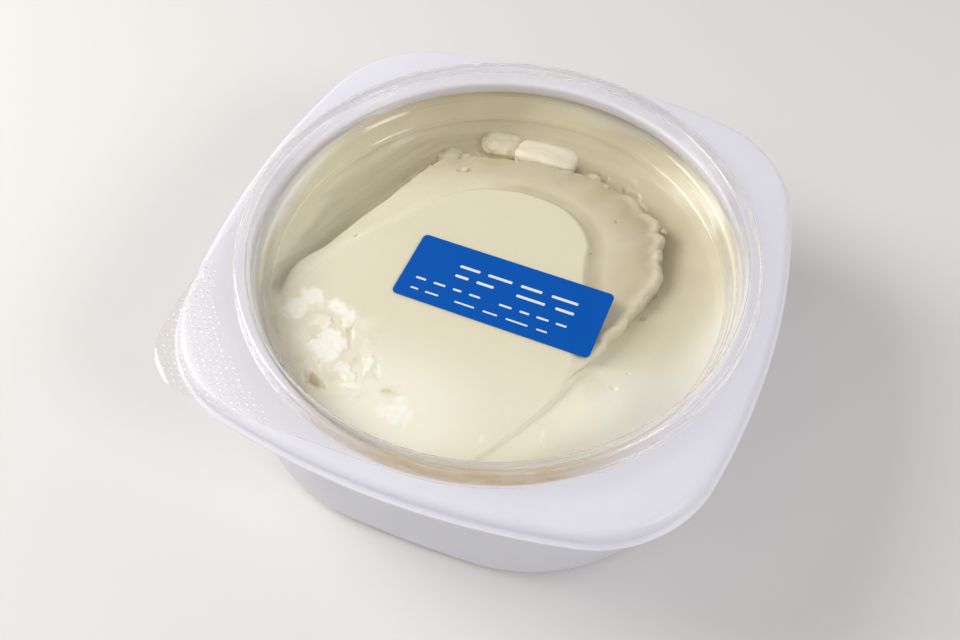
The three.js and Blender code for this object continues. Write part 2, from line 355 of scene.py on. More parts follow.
# moist curd: duller where whey gathers and painted shade falls, even where the lid presses it, milky where it
# is torn, and paler with painted light elsewhere
def makeCurdMaterial(name, light, shade, roughness):
    material, tree, shader = newMaterial(name)
    mottle = addMottle(tree, 55, 700)
    colour = addBlend(tree, mottle.outputs["Blotch"], shade, light)
    for mask in ("wetShade", "pressed", "milkyAndLit"):
        colour = addBlend(tree, addMask(tree, mask), colour, curdColours[mask])
    tree.links.new(colour, shader.inputs["Base Color"])
    addGrain(tree, shader, mottle, roughness, roughness + 0.12)
    soften(shader, 0.55, (1.0, 0.8, 0.5), 0.0025)
    shader.inputs["Specular IOR Level"].default_value = 0.3
    shader.inputs["Coat Weight"].default_value = 0.08
    shader.inputs["Coat Roughness"].default_value = 0.15
    addBump(tree, shader, mottle.outputs["Grain"], 0.25, 0.0003)
    return material


def makeLabelMaterial(name, colour, roughness):
    material, tree, shader = newMaterial(name)
    mottle = addMottle(tree, 80, 2500)
    darker = tuple(channel * 0.92 for channel in colour)
    tree.links.new(addBlend(tree, mottle.outputs["Blotch"], darker, colour), shader.inputs["Base Color"])
    addGrain(tree, shader, mottle, roughness, roughness + 0.1)
    shader.inputs["Specular IOR Level"].default_value = 0.12
    addBump(tree, shader, mottle.outputs["Grain"], 0.05, 0.0001)
    return material


tubPlastic = makeTubPlastic()
clearPlastic = makeClearPlastic()
softCurd = makeCurdMaterial("softCurd", (0.84, 0.80, 0.64), (0.80, 0.755, 0.58), 0.30)
looseCurd = makeCurdMaterial("looseCurd", (0.86, 0.83, 0.70), (0.80, 0.76, 0.60), 0.34)
labelBlue = makeLabelMaterial("labelBlue", (0.0, 0.085, 0.42), 0.5)
labelPrint = makeLabelMaterial("labelPrint", (0.72, 0.77, 0.84), 0.5)
print("materials made")


tub = {
    "steps": 320,
    # outlines: half width, radius of the corners, radius of the bowed sides
    "rim": (rimHalf, 29.5, 180),
    "wallTop": (60.2, 47, 320),
    "wallFoot": (58.4, 44, 320),
    "wall": 1.2,
    "skirtWall": 1.3,
    "skirtFoot": 42,
    "lip": 1.1,
    "shoulder": 2.2,
    "footRound": 5.4,
    "floor": 1.4,
    "mouth": 57,
    "mouthDepth": 3.2,
    "mouthLedge": 2.4,  # how far below the mouth the wall reaches its full width
    "groove": (43.5, 48.5, 0.6),  # a ring pressed into the base: inner and outer reach, depth
    "grooveSlope": 1.2,
    "skirtLip": 1.2,
    # rings of cells for the painted shade under the ring, as reaches on the rim, and for the whey and painted
    # shade inside, as heights inside
    "rimRings": (60.9, 60.4, 59.9, 59.4, 58.9, 58.4, 58.1),
    "wheyShadeRings": (38.8, 38.4, 38.0),
    "wheyShadeLine": 38.4,
    "wheyShadeHigh": (70, 165, 40),  # the arc where the whey and painted shade reach the mouth, in degrees, and its soft ends
    "wheyShadeWithin": 62,
    "ringShadeArc": (255, 315, 40),
    "ringShadeFades": (59.9, 60.5),
    "ringShadeWithin": 61.5,
    "ringShadeDepth": 4,
    "mouthRound": 0.8,
    "rightShade": 0.7,
}
wallTopPlan = squarePlan(*tub["wallTop"], shift=-tub["wall"])
wallFootPlan = squarePlan(*tub["wallFoot"], shift=-tub["wall"])


# the tub's inner outline at a height
def innerWall(height):
    share = (height - tub["floor"]) / (rimTop - tub["floor"])
    return lambda angle: mix(wallFootPlan(angle), wallTopPlan(angle), share)


# whey and painted warm shade on the inside: up to the mouth at the back left, lower elsewhere
def wheyAndShadeOn(vert):
    x, y, z = vert.co
    far = math.hypot(x, y)
    if z < tub["floor"] - 0.01 or far > tub["wheyShadeWithin"]:
        return 0
    inward = -(vert.normal.x * x + vert.normal.y * y) / max(far, 1)
    high = arcShare(math.atan2(y, x), *tub["wheyShadeHigh"])
    top = mix(tub["wheyShadeLine"], rimTop - tub["mouthDepth"], high)
    return (1 - smooth(top - 0.4, top + 0.3, z)) * smooth(-0.3, 0, inward)


# painted shade, warmed by the tofu's light and laid in streaks, on the rim under the front of the lid's ring
def ringShadeOn(vert):
    x, y, z = vert.co
    far = math.hypot(x, y)
    underRim = far > tub["mouth"] + tub["mouthRound"] and z < rimTop - 0.5
    if z < rimTop - tub["ringShadeDepth"] or far > tub["ringShadeWithin"] or underRim:
        return 0
    around = math.atan2(y, x)
    front = arcShare(around, *tub["ringShadeArc"]) * (1 - smooth(*tub["ringShadeFades"], far))
    streaks = 0.8 + 0.5 * noise.noise(Vector((around * 5, far * 1.4, 3)))
    streaks += 0.4 * noise.noise(Vector((around * 16, far * 2.5, 5)))
    return front * min(max(streaks, 0), 1)


def makeTub():
    bm = bmesh.new()
    under = rimTop - tub["wall"]
    skirt = squarePlan(*tub["rim"], shift=-tub["lip"])
    skirtInside = squarePlan(*tub["rim"], shift=-tub["lip"] - tub["skirtWall"])
    rim = squarePlan(*tub["rim"])
    lipTop = tub["skirtFoot"] + tub["skirtLip"]
    inner, outer, depth = tub["groove"]
    ledge = rimTop - tub["mouthDepth"] - tub["mouthLedge"]

    def wallAt(height):
        share = (height - tub["floor"]) / (ledge - tub["floor"])
        return lambda angle: mix(wallFootPlan(angle), wallTopPlan(angle), share)

    skinRings(bm, [
        (roundPlan(inner), 0, 0),
        (roundPlan(inner + tub["grooveSlope"]), depth, 0.3),
        (roundPlan(outer - tub["grooveSlope"]), depth, 0.3),
        (roundPlan(outer), 0, 0.3),
        (squarePlan(*tub["wallFoot"]), 0, tub["footRound"]),
        (squarePlan(*tub["wallTop"]), under, 0.5),
        (skirtInside, under, 0.5),
        (skirtInside, tub["skirtFoot"], 0),
        (rim, tub["skirtFoot"], 0.2),
        (rim, lipTop - 0.5, 0.25),
        (skirt, lipTop, 0.5),
        (skirt, rimTop, tub["shoulder"]),
        *[(roundPlan(reach), rimTop, 0) for reach in tub["rimRings"]],
        (roundPlan(tub["mouth"]), rimTop, 0.9),
        (roundPlan(tub["mouth"]), rimTop - tub["mouthDepth"], 0.6),
        (wallTopPlan, ledge, 1.0),
        *[(wallAt(height), height, 0) for height in tub["wheyShadeRings"]],
        (wallFootPlan, tub["floor"], 3.5),
    ], tub["steps"])
    closeEnds(bm)
    bmesh.ops.recalc_face_normals(bm, faces=bm.faces)
    wheyAndShade = bm.verts.layers.float.new("wheyAndShade")
    ringShade = bm.verts.layers.float.new("ringShade")
    rightShade = bm.verts.layers.float.new("rightShade")
    for vert in bm.verts:
        vert[wheyAndShade] = wheyAndShadeOn(vert)
        vert[ringShade] = ringShadeOn(vert)
        around = math.atan2(vert.co.y, vert.co.x)
        # painted shade: the tinted inside wall is darker and greyer towards the right and back right
        vert[rightShade] = vert[wheyAndShade] * tub["rightShade"] * smooth(-0.2, 0.7, math.cos(around - 0.7))
    makePiece("tubShell", bm, "tub_plastic", tubPlastic, "tub")


makeTub()
print("tub made")


lid = {
    "steps": 360,
    "sheet": 0.22,
    "gap": 0.35,  # between the rim and the lid's edge
    "panel": 37.0,
    "panelRadius": 53.9,
    # the wall from the panel up to the ring: reach, height, rounding
    "wall": [(54.7, 39.4, 0.5), (55.1, 41.4, 0.5), (55.8, 42.0, 0.3), (56.2, 43.8, 0.6), (56.2, 45.4, 0.6),
             (56.8, 47.2, 0.6)],
    "ringInside": 57.1,
    "ringFoot": 60.3,
    "foot": 61.0,
    "tabHalf": 61,
    "tabCorner": 16,
    # across the tab, with a raised band along its root: share of the way out, rise
    "tab": [(0.06, 0.05), (0.14, 0.3), (0.2, 0.3), (0.28, 0.08), (0.4, 0), (0.7, 0), (0.96, 0), (1, -0.1)],
    "dimple": 0.30,
    "dimplePitch": 1.6,
    "dimpleGrid": (24, 32),
    "dimplesFrom": 64.9,
}
tabLevel = rimTop + lid["gap"] + lid["sheet"]


# the lid's outer edge: round, but carried out to one corner as the lift tab
def tabPlan(angle):
    x, y = -math.cos(angle), -math.sin(angle)
    if x <= 0 or y <= 0:
        return lid["foot"]
    centre = lid["tabHalf"] - lid["tabCorner"]
    along = centre * (x + y)
    corner = along + math.sqrt(max(along ** 2 - 2 * centre ** 2 + lid["tabCorner"] ** 2, 0))
    flat = lid["tabHalf"] / max(x, y)
    inCorner = corner * min(x, y) > centre
    return max(lid["foot"], corner if inCorner else flat)


def towardsTab(share):
    return lambda angle: mix(lid["foot"] - 0.3, tabPlan(angle), share)


def tabRise(lift):
    return lambda angle: tabLevel + lift * smooth(3, 9, tabPlan(angle) - lid["foot"])


def makeLid():
    bm = bmesh.new()
    skinRings(bm, [
        (roundPlan(20), lid["panel"], 0),
        (roundPlan(40), lid["panel"], 0),
        (roundPlan(lid["panelRadius"] - 2.2), lid["panel"], 0.4),
        (roundPlan(lid["panelRadius"] - 0.9), lid["panel"] - 0.12, 0.4),
        (roundPlan(lid["panelRadius"]), lid["panel"], 0.7),
        *[(roundPlan(reach), height, rounding) for reach, height, rounding in lid["wall"]],
        (roundPlan(lid["ringInside"]), ringTop - 0.02, 0.6),
        (roundPlan(58.5), ringTop, 0),
        (roundPlan(lid["ringFoot"] - 0.35), ringTop, 0.8),
        (roundPlan(lid["ringFoot"]), tabLevel, 0.3),
        (roundPlan(lid["foot"] - 0.3), tabLevel, 0),
        *[(towardsTab(share), tabRise(rise), 0) for share, rise in lid["tab"]],
    ], lid["steps"])
    inner = [edge for edge in bm.edges if edge.is_boundary and edge.verts[0].co.xy.length < 30]
    bmesh.ops.holes_fill(bm, edges=inner, sides=0)
    bmesh.ops.recalc_face_normals(bm, faces=bm.faces)
    if bm.faces[0].normal.z < 0:
        bmesh.ops.reverse_faces(bm, faces=bm.faces)
    bmesh.ops.solidify(bm, geom=bm.faces, thickness=lid["sheet"])
    makePiece("lidShell", bm, "lid_plastic", clearPlastic, "lid")


# small raised domes in staggered rows over the tab, beyond its raised band
def makeDimples():
    bm = bmesh.new()
    pitch = lid["dimplePitch"]
    rows, columns = lid["dimpleGrid"]
    for row in range(rows):
        for column in range(columns):
            across = (column + 0.5 * (row % 2) - columns / 2) * pitch
            out = 62 + row * pitch * 0.87
            x = -(out + across) / math.sqrt(2)
            y = -(out - across) / math.sqrt(2)
            radius = math.hypot(x, y)
            edge = tabPlan(math.atan2(y, x)) if x < 0 and y < 0 else 0
            if radius < lid["dimplesFrom"] or radius > edge - 0.7:
                continue
            dome = bmesh.ops.create_uvsphere(bm, u_segments=8, v_segments=5, radius=lid["dimple"])["verts"]
            bmesh.ops.scale(bm, vec=(1, 1, 0.45), verts=dome)
            bmesh.ops.translate(bm, vec=(x, y, tabLevel + 0.02), verts=dome)
    makePiece("tabDimples", bm, "lid_plastic", clearPlastic, sharp=80)


makeLid()
makeDimples()
print("lid made")


label = {
    "centre": ((labelLow.x + labelHigh.x) / 2, (labelLow.y + labelHigh.y) / 2),
    "size": (49.4, 19.2),
    "turn": -0.026,
    "round": 1.2,
    "bottom": 37.02,
    "thick": 0.14,
    "print": 0.02,
    # rows of plain dashes: height above the label's middle, thickness, then each dash's start and length
    "rows": [
        (3.6, 0.75, [(-12.5, 5.2), (-5.2, 6.2), (3.2, 5.4), (11.0, 6.6)]),
        (0.6, 0.75, [(-12.5, 3.4), (-7.0, 4.4), (3.2, 7.2), (13.0, 4.6)]),
        (-3.4, 0.55, [(-21, 2.6), (-16.4, 3.0), (-11.4, 2.2), (-7.2, 2.8), (0.4, 3.2), (5.6, 2.4), (9.8, 3.0),
                      (14.6, 2.6)]),
        (-6.6, 0.45, [(-21, 2.0), (-17.2, 3.4), (-9.6, 5.0), (-2.4, 3.6), (3.4, 5.4), (11.0, 2.6)]),
    ],
}


# a flat bar with round corners, standing on one height
def addBar(bm, x, y, length, thick, bottom, high, rounding):
    cube = bmesh.ops.create_cube(bm, size=1)["verts"]
    bmesh.ops.scale(bm, vec=(length, thick, high), verts=cube)
    bmesh.ops.translate(bm, vec=(x, y, bottom + high / 2), verts=cube)
    edges = dict.fromkeys(edge for vert in cube for edge in vert.link_edges)
    upright = [edge for edge in edges if abs(edge.verts[0].co.z - edge.verts[1].co.z) > high / 2]
    bmesh.ops.bevel(bm, geom=upright, offset=rounding, offset_type="OFFSET", segments=6,
                    profile=0.5, affect="EDGES", material=-1, clamp_overlap=True)


def placeLabel(bm):
    turn = Matrix.Rotation(label["turn"], 4, "Z")
    bmesh.ops.rotate(bm, cent=(0, 0, 0), matrix=turn, verts=bm.verts)
    bmesh.ops.translate(bm, vec=(*label["centre"], 0), verts=bm.verts)


def makeLabel():
    bm = bmesh.new()
    addBar(bm, 0, 0, *label["size"], label["bottom"], label["thick"], label["round"])
    placeLabel(bm)
    makePiece("labelSheet", bm, "label_paper", labelBlue, "label")
    bm = bmesh.new()
    for height, thick, dashes in label["rows"]:
        for start, length in dashes:
            addBar(bm, start + length / 2, height, length, thick, label["bottom"] + label["thick"],
                   label["print"], thick * 0.4)
    placeLabel(bm)
    makePiece("labelMarks", bm, "label_paper", labelPrint)


makeLabel()
print("label made")


tofu = {
    "centre": (-6, -5),
    "pressed": lid["panel"] - lid["sheet"] + 0.05,  # just into the clear sheet
    "meetsWall": 36,
    # reaches and levels about the centre, every 15 degrees from +X round through +Y
    "edgeReach": [37.4, 42.3, 48.9, 52.6, 52.0, 50.0, 47.2, 46.0, 44.6, 38.6, 35.2, 35.4,
                  37.3, 43.2, 44.5, 43.6, 43.6, 44.2, 42.7, 43.8, 44.1, 39.4, 36.2, 36.2],
    "edgeLevel": [34.2, 32.8, 32.2, 32, 32, 32.2, 32.4, 32.6, 33.4, 34.5, 35, 35.2,
                  35.4, 35.8, 36.2, 36.4, 36.5, 36.5, 36.5, 36.5, 36.5, 36.5, 36.3, 35.5],
    "contactReach": [28.5, 27.6, 28.5, 32.0, 33.1, 32.2, 30.8, 29.6, 27.8, 26.4, 26, 28,
                     31, 36, 41, 43.2, 43.2, 43.8, 42.3, 43.4, 43.6, 38.2, 35.6, 31],
    "besideLevel": [31.2, 29.8, 28.5, 26.6, 26.0, 26.4, 27, 27.2, 27.4, 27.8, 28.4, 29.2,
                    30.2, 32.2, 34, 34, 34, 34, 34, 35.4, 36.2, 36.2, 35.6, 33.8],
    "outerLevel": [35.6, 35.1, 34.3, 33.0, 31.6, 30.4, 29.8, 29.6, 29.4, 29.4, 29.6, 30,
                   31, 33, 34, 34, 34, 34, 34, 35.6, 36.3, 36.3, 36.3, 36.0],
    "wallLevel": [35.7, 35.3, 35.0, 35.4, 37.0, 40.4, 42.3, 42.3, 42.3, 42.3, 42.3, 42.3,
                  42.3, 41, 37, 35.6, 35.6, 35.6, 35.6, 35.8, 36.4, 36.4, 36.3, 35.9],
    # arc where scoop and bed are one surface under the lid: ends, and how softly each end fades
    "merged": (203, 338, 9, 30),
    "shoulder": 1.4,  # drop just beyond the part that the lid presses
    "shoulderWidth": 1.9,
    "climb": 8,  # width over which the bed climbs the wall
    "lip": 0.45,
    # lobes that stand out of the torn edge: direction, half width in degrees, reach
    "lobes": [(46.5, 3.2, 1.6), (40.2, 1.7, 1.2), (34.4, 1.7, 0.9), (27, 2.0, 0.4), (56, 2.6, 0.8)],
    "edgeRound": (1.8, 1.1),  # where the edge is whole, and where it is torn
    "rings": 132,
    "scoopRings": 86,  # the rest of them make the bed
    "bottom": 22,
    # the torn patch at the front left: middle, where it is whole and where it ends
    "tornAt": (-26, -36),
    "tornReach": (9, 18),
    "paleAt": (-8, -46),  # the middle of the painted light at the front
    # where the surface is finer: place and reach
    "finer": [(-28, -33, 11), (-12, -41, 7.5)],
    # pores and small pits: place, radius, depth
    "pores": [
        (25.7, -40.2, 0.95, 0.9), (35.6, -20, 0.8, 0.8), (37.4, -14.5, 0.4, 0.4),
        (5.8, -30.7, 0.55, 0.4), (0.7, -29.6, 0.4, 0.25), (21.7, 28.2, 0.55, 0.5),
        (18.6, 14.8, 0.7, 0.6), (-22.3, 30.4, 0.7, 0.5), (9, -20.5, 0.3, 0.2),
        (-27.4, 34.6, 0.9, 0.8),
    ],
    # gaps between the torn lumps and behind the scoops: place, half sizes, turn, depth, wetness with painted
    # shade
    "gaps": [
        (-10.6, -39.6, 2.6, 1.8, 0.4, 0.9, 0.9), (-36.0, -24.4, 1.2, 1.8, -0.3, 0.6, 0.6),
        (-27.4, -42.8, 3.6, 1.3, -0.4, 1.5, 1), (-15.0, -42.4, 1.0, 2.8, -0.5, 0.25, 0.25),
        (-43.6, -33.0, 1.8, 6.5, 0.6, 0.9, 0.5), (-25.6, -28.0, 1.0, 5.4, 0.55, 0.28, 0.4),
        (-20.0, -34.4, 1.3, 2.2, 0.1, 0.25, 0.2), (-31.6, -26.4, 2.4, 0.8, -0.35, 0.2, 0.2),
        (-33.6, -39.2, 2.8, 1.1, 0.6, 0.25, 0.2), (-23.4, -40.6, 2.6, 0.9, 0.4, 0.25, 0.2),
        (-14.8, -36.4, 1.0, 2.6, 0.5, 0.2, 0.15), (30.8, -21.3, 7, 3.4, -0.9, 0.1, 0.3),
        (-29.7, 36.1, 3.2, 1.3, 0.35, 1.2, 1), (-22.3, 41.8, 2.6, 1.4, 0.1, 1.4, 1),
        (12.2, 47.2, 3.0, 1.8, -0.5, 1.6, 1), (22.6, 43.2, 4.4, 1.8, -0.7, 1.4, 1),
    ],
    # lumps that the lid has pressed: place, half sizes, turn, lift, milkiness
    "patches": [
        (-28.2, -33.6, 4.2, 6.2, 0.35, 0.5, 1.0), (-30.6, -22.9, 4.4, 1.9, -0.35, 0.4, 1.0),
        (-27.2, -25.4, 1.5, 2.4, 0.2, 0.4, 0.95), (-40.0, -26.8, 3.2, 3.6, 0.3, 0.3, 0.85),
        (-37.8, -22.6, 4.0, 2.6, -0.5, 0.3, 0.95), (-33.2, -27.8, 2.4, 2.2, 0.3, 0.3, 0.6),
        (-6.6, -43.6, 4.8, 3.6, 0.5, 0.4, 1.0), (-17.4, -35.0, 1.0, 2.6, 0.15, 0.4, 1.0),
        (-20.8, -38.6, 2.6, 1.6, -0.7, 0.3, 0.9), (-18.4, -41.2, 2.6, 0.8, 0.3, 0.3, 0.9),
        (-23.4, -37.4, 1.8, 1.3, 0.5, 0.3, 0.7), (-3.6, -45.8, 0.7, 2.0, 0.1, 0.3, 0.9),
        (-14.8, -45.0, 1.6, 0.7, 0.4, 0.3, 0.7), (13.0, -43.2, 0.6, 1.2, 0.2, 0.2, 0.7),
        (24.9, -37.8, 0.5, 1.6, 0.1, 0.1, 0.7), (-7.6, -49.0, 1.4, 0.5, 0.3, 0.3, 0.7),
    ],
}
# arcs that look or lie differently: first and last direction in degrees, and how soft their ends are
arcs = {
    "torn": (-12, 128, 18),
    "rightBed": (-40, 84, 24),
    "wide": (70, 215, 30),
    "trough": (62, 205, 30),
    "shreds": (70, 132, 14),
    "lowLeft": (196, 232, 14),
    "shoulder": (-20, 124, 26),
    "lip": (-14, 40, 30),
    "rimHollow": (-18, 14, 22),
    "leftHollow": (128, 178, 40),
    # arcs of painted light
    "paleLeft": (165, 215, 30),
    "paleRight": (320, 392, 36),
    "filmLeft": (146, 214, 30),
    "filmRight": (36, 80, 24),
    # arcs for more painted shade with the wetness, and for less of it
    "wetShadeFront": (218, 262, 22),
    "wetShadeStep": (-20, 100, 30),
    "lighterRim": (-20, 60, 30),
    "wetShadeBack": (54, 150, 36),
    "lighterTrough": (130, 210, 30),
}
# layers of unevenness: height, size, seed
layers = {
    "tornEdge": [(1.3, 5, 8.1), (0.55, 2.2, 4.4), (0.25, 0.9, 9.4)],
    "tornFront": [(0.3, 5, 3.3), (0.14, 2.4, 7.7), (0.06, 1.0, 5.1)],
    "raggedSpot": [(0.5, 2.6, 6.6), (0.3, 1.1, 6.1)],
    "bed": [(0.10, 9, 1.7), (0.03, 2.2, 1.7)],
    "scoop": [(0.16, 7, 2.2), (0.05, 2.4, 2.2)],
    "tornRim": [(0.26, 2.4, 2.9), (0.12, 0.9, 2.9)],
}
# the last scoop's side, seen as a fold from the label's corner to the front wall
fold = {
    "start": (28.8, -15.6),
    "end": (13.4, -48.2),
    "bulge": 1.3,
    "drops": (1.2, 0.42),
    "width": 0.9,
    "recovers": 7.5,
    "kept": 0.35,
}


def inArc(angle, name):
    return arcShare(angle, *arcs[name])


def uneven(x, y, name):
    return sum(height * wobble(x, y, size, seed) for height, size, seed in layers[name])


# how far the wall is from the tofu's centre in one direction
def reachToWall(angle):
    cx, cy = tofu["centre"]
    reach = 50
    for _ in range(6):
        x, y = cx + reach * math.cos(angle), cy + reach * math.sin(angle)
        reach += innerWall(tofu["meetsWall"])(math.atan2(y, x)) - math.hypot(x, y)
    return reach


wallReach = loosePlan([reachToWall(math.radians(2 * step)) for step in range(180)])
edgeReach = loosePlan(tofu["edgeReach"])
edgeLevel = loosePlan(tofu["edgeLevel"])
contactReach = loosePlan(tofu["contactReach"])
besideLevel = loosePlan(tofu["besideLevel"])
outerLevel = loosePlan(tofu["outerLevel"])
wallLevel = loosePlan(tofu["wallLevel"])


def mergedShare(angle):
    first, last, softFirst, softLast = tofu["merged"]
    return arcShare(angle, first, first + 180, softFirst) * arcShare(angle, last - 180, last, softLast)


def polar(x, y):
    cx, cy = tofu["centre"]
    return math.atan2(y - cy, x - cx), math.hypot(x - cx, y - cy)


# how far the torn edge stands out in one direction because of its lobes
def lobeReach(angle):
    degrees = math.degrees(angle)
    return sum(reach * math.exp(-((degrees - at) / half) ** 4) for at, half, reach in tofu["lobes"])


# the scoops' own outline: calm at the left and front, torn along its back and right
def scoopReach(angle):
    px, py = 40 * math.cos(angle), 40 * math.sin(angle)
    torn = uneven(px, py, "tornEdge") + lobeReach(angle)
    calm = 0.35 * wobble(px, py, 7, 2)
    return min(edgeReach(angle) + mix(calm, torn, inArc(angle, "torn")), wallReach(angle) - 0.6)


def turnedSpot(x, y, spot):
    px, py, across, along, turn = spot
    dx, dy = x - px, y - py
    return math.hypot((dx * math.cos(turn) + dy * math.sin(turn)) / across,
                      (dy * math.cos(turn) - dx * math.sin(turn)) / along)


def tornShare(x, y):
    far = math.hypot(x - tofu["tornAt"][0], y - tofu["tornAt"][1])
    return 1 - smooth(*tofu["tornReach"], far)


# a ragged outline for a lump or a gap
def tornSpot(x, y, spot):
    far = turnedSpot(x, y, spot)
    return far + uneven(x, y, "raggedSpot") if far < 2.2 else far


# relief that scoops and bed share: torn lumps on the left of the front, gaps and pores
def relief(x, y):
    level = 0
    front = tornShare(x, y)
    if front > 0:
        level += front * (uneven(x, y, "tornFront") - 0.1)
    for *spot, lift, _ in tofu["patches"]:
        far = tornSpot(x, y, spot)
        level += lift * (1 - smooth(0.75, 1.15, far))
    for *spot, depth, _ in tofu["gaps"]:
        level -= depth * (1 - smooth(0.2, 1.2, tornSpot(x, y, spot)))
    for px, py, radius, depth in tofu["pores"]:
        far = math.hypot(x - px, y - py) / radius
        if far < 2.5:
            far += 0.3 * wobble(x, y, radius, 4.2)
            level -= depth * (1 - smooth(0.35, 1.1, far)) - 0.08 * hump(far, 1.35, 0.3)
    return level


# how far the surface drops on the far side of the fold
def foldDrop(x, y):
    (sx, sy), (ex, ey) = fold["start"], fold["end"]
    long = math.hypot(ex - sx, ey - sy)
    ax, ay = (ex - sx) / long, (ey - sy) / long
    along = ((x - sx) * ax + (y - sy) * ay) / long
    inside = min(max(along, 0), 1)
    beyond = (y - sy) * ax - (x - sx) * ay - fold["bulge"] * math.sin(math.pi * inside)
    beyond += 0.25 * wobble(x, y, 4, 8)
    recovered = 1 - (1 - fold["kept"]) * smooth(0.8, fold["recovers"], beyond)
    return mix(*fold["drops"], inside) * smooth(-0.2, fold["width"], beyond) * recovered


# the front, where the lid presses scoops and bed into one surface
def frontHeight(x, y):
    angle, far = polar(x, y)
    fromWall = wallReach(angle) - far
    level = tofu["pressed"] + mix(0.8, -0.12, tornShare(x, y)) + relief(x, y)
    level -= inArc(angle, "lowLeft") * (1 - smooth(1.5, 6, fromWall))
    return min(level, tofu["pressed"]) - foldDrop(x, y)


# the bed round the scoops: low behind the torn edge, a deep streaky trough from back to left
def bedHeight(x, y):
    angle, far = polar(x, y)
    fromWall = innerWall(tofu["meetsWall"])(math.atan2(y, x)) - math.hypot(x, y)
    out = far - scoopReach(angle)
    calmOut = max(far - edgeReach(angle), 0)
    wide = mix(0.8, 1.0, inArc(angle, "wide"))
    across = calmOut / max(calmOut + fromWall, 0.1)
    share = mix(smooth(-0.12, wide, across), min(across, 1) ** 1.7, inArc(angle, "rightBed"))
    level = mix(besideLevel(angle), outerLevel(angle), share)
    level += (wallLevel(angle) - outerLevel(angle)) * max(0, 1 - fromWall / tofu["climb"]) ** 2.2
    run = 7 * math.cos(angle) - 9 * math.sin(angle)  # changes slowly along the trough
    streak = 0.7 * wobble(out, run, 3.4, 3.1) + 0.4 * wobble(out + 0.4 * run, run, 1.7, 1.1)
    level += inArc(angle, "trough") * streak + uneven(x, y, "bed")
    # soft shreds of curd stand in the gap behind the torn edge
    shreds = inArc(angle, "shreds") * hump(out, 2.5, 2.6)
    level += shreds * (4.0 * max(wobble(x, y, 3.6, 5.5), -0.2) + 0.7 * wobble(x, y, 1.5, 2.8))
    return level + relief(x, y)


def scoopHeight(x, y):
    angle, far = polar(x, y)
    whole = scoopReach(angle)
    contact = contactReach(angle) + 0.25 * wobble(x, y, 7, 6)
    beyond = far - contact
    share = min(max(beyond / max(whole - contact, 0.5), 0), 1)
    arc = inArc(angle, "shoulder")
    level = mix(tofu["pressed"] - tofu["shoulder"] * arc, edgeLevel(angle), share ** 1.1)
    level += tofu["shoulder"] * arc * (1 - smooth(0, tofu["shoulderWidth"], beyond) ** 0.8)
    if beyond < 0:
        level = tofu["pressed"] + 0.05 - 0.12 * max(beyond, -1)
    inward = whole - far
    lip = inArc(angle, "lip") * (0.75 + 0.5 * wobble(x, y, 3.5, 4))
    level += tofu["lip"] * lip * hump(inward, 1.5, 1.1)
    level -= 0.5 * inArc(angle, "rimHollow") * hump(inward, 4.6, 2.6)
    level -= 0.75 * inArc(angle, "leftHollow") * hump(beyond, 3.2, 2.6)
    ragged = inArc(angle, "torn")
    level += smooth(0, 1.5, beyond) * uneven(x, y, "scoop")
    level += ragged * (1 - smooth(0.5, 5, inward)) * uneven(x, y, "tornRim")
    level += min(lobeReach(angle), 1) * (0.25 * hump(inward, 1.6, 1.2) - 0.2 * hump(inward, 3.6, 1.1))
    level += relief(x, y)
    edge = mix(*tofu["edgeRound"], ragged)
    if inward < edge:
        level -= edge * (1 - math.sqrt(max(1 - ((edge - inward) / edge) ** 2, 0)))
    return level


def tofuHeight(x, y, onScoop):
    angle, _ = polar(x, y)
    merged = mergedShare(angle)
    apart = 0
    if merged < 1:
        apart = scoopHeight(x, y) if onScoop else bedHeight(x, y)
    front = frontHeight(x, y) if merged > 0 else 0
    return mix(apart, front, merged)


# how wet the gaps between the torn lumps are, with painted shade in them
def gapWetShade(x, y):
    return max(wetAndShade * (1 - smooth(0.3, 1.2, tornSpot(x, y, spot))) for *spot, _, wetAndShade in tofu["gaps"])


# how milky the torn lumps are, and painted light on the paler tofu round them, towards the front and on the
# left
def milkinessAndLight(x, y):
    near = max(milk * (1 - smooth(0.55, 1.3, tornSpot(x, y, spot))) for *spot, _, milk in tofu["patches"])
    speckled = 0.9 + 0.25 * wobble(x, y, 1.0, 3.7)
    haze = tornShare(x, y) * (0.14 + 0.3 * smooth(-0.25, 0.6, wobble(x, y, 3.5, 2.4)))
    px, py = tofu["paleAt"]
    front = 0.34 * (1 - smooth(6, 25, math.hypot(x - px, y - py))) + 0.28 * smooth(-10, -42, y - 0.1 * x)
    angle, far = polar(x, y)
    left = 0.12 * inArc(angle, "paleLeft") * smooth(12, 32, far)
    return max(speckled * max(near, haze), front, left) * (1 - 0.8 * gapWetShade(x, y))


# painted light, paler still: the bed beside the right wall, and the film that climbs the left wall
def paleness(x, y, level):
    angle, far = polar(x, y)
    right = 0.85 * inArc(angle, "paleRight") * smooth(32, 47, math.hypot(x, y)) * smooth(31.5, 34.5, level)
    film = max(0.95 * inArc(angle, "filmLeft"), 0.5 * inArc(angle, "filmRight"))
    film *= smooth(35.2, 37.5, level) * (1 - smooth(3, 7, wallReach(angle) - far))
    return max(milkinessAndLight(x, y) * smooth(34.6, 36.0, level), right, film)


